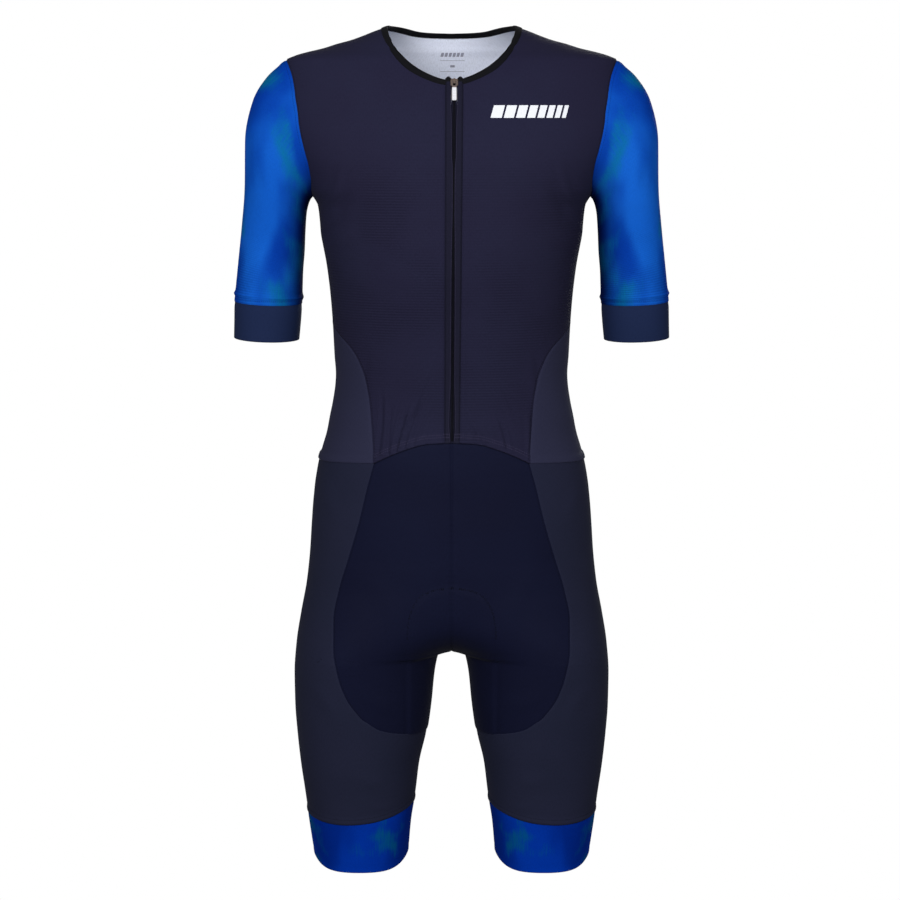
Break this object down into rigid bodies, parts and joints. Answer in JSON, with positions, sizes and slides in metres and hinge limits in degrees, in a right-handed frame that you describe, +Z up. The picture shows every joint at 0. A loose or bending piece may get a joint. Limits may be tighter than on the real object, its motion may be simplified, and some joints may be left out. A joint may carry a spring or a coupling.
{
  "type": "triathlon suit",
  "caption": "Short-sleeved one-piece triathlon suit with a front zip, side gores, shorts and leg grippers, filled out as worn but empty.",
  "frame": {"origin": "midway between the two shoulder tips, inside the hollow, where the wearer's shoulders carry the suit", "axes": "+Z up towards the neck, -Y the front with the zip, +X the wearer's left"},
  "size_m": [0.4904, 0.2401, 0.9502],
  "materials": {
    "bodice_knit": "fine ribbed stretch knit, matt, near-black navy",
    "side_jersey": "smooth stretch jersey, matt, slate navy",
    "navy_lycra": "dense smooth stretch knit, deep navy",
    "sleeve_knit": "fine ribbed knit, bright blue with teal clouds",
    "cuff_knit": "matt elastic band, navy",
    "gripper_knit": "elastic band, blue with teal clouds",
    "binding": "narrow folded binding, black",
    "zip_tape": "woven tape, near black",
    "zip_coil": "moulded coil, black",
    "zip_metal": "polished cast metal, silver"
  },
  "bodies": {
    "suit": {"front_left": "bodice_knit", "front_right": "bodice_knit", "side_left": "side_jersey", "side_right": "side_jersey", "sleeve_left": "sleeve_knit", "sleeve_right": "sleeve_knit", "cuff_left": "cuff_knit", "cuff_right": "cuff_knit", "zip_tape_left": "zip_tape", "zip_tape_right": "zip_tape", "shorts_front_left": "navy_lycra", "shorts_front_right": "navy_lycra", "seat_left": "navy_lycra", "seat_right": "navy_lycra", "shorts_side_left": "side_jersey", "shorts_side_right": "side_jersey", "gripper_left": "gripper_knit", "gripper_right": "gripper_knit", "back": "bodice_knit", "neck_binding": "binding", "zip_coil": "zip_coil", "zip_slider": "zip_metal"},
    "pull": {"zip_pull": "zip_metal"}
  },
  "joints": [
    {"name": "pull_swing", "type": "hinge", "parent": "suit", "child": "pull", "pos_m": [0.00285, -0.07606, -0.02265], "axis": [-1, 0, 0], "range_deg": [0, 150]}
  ]
}
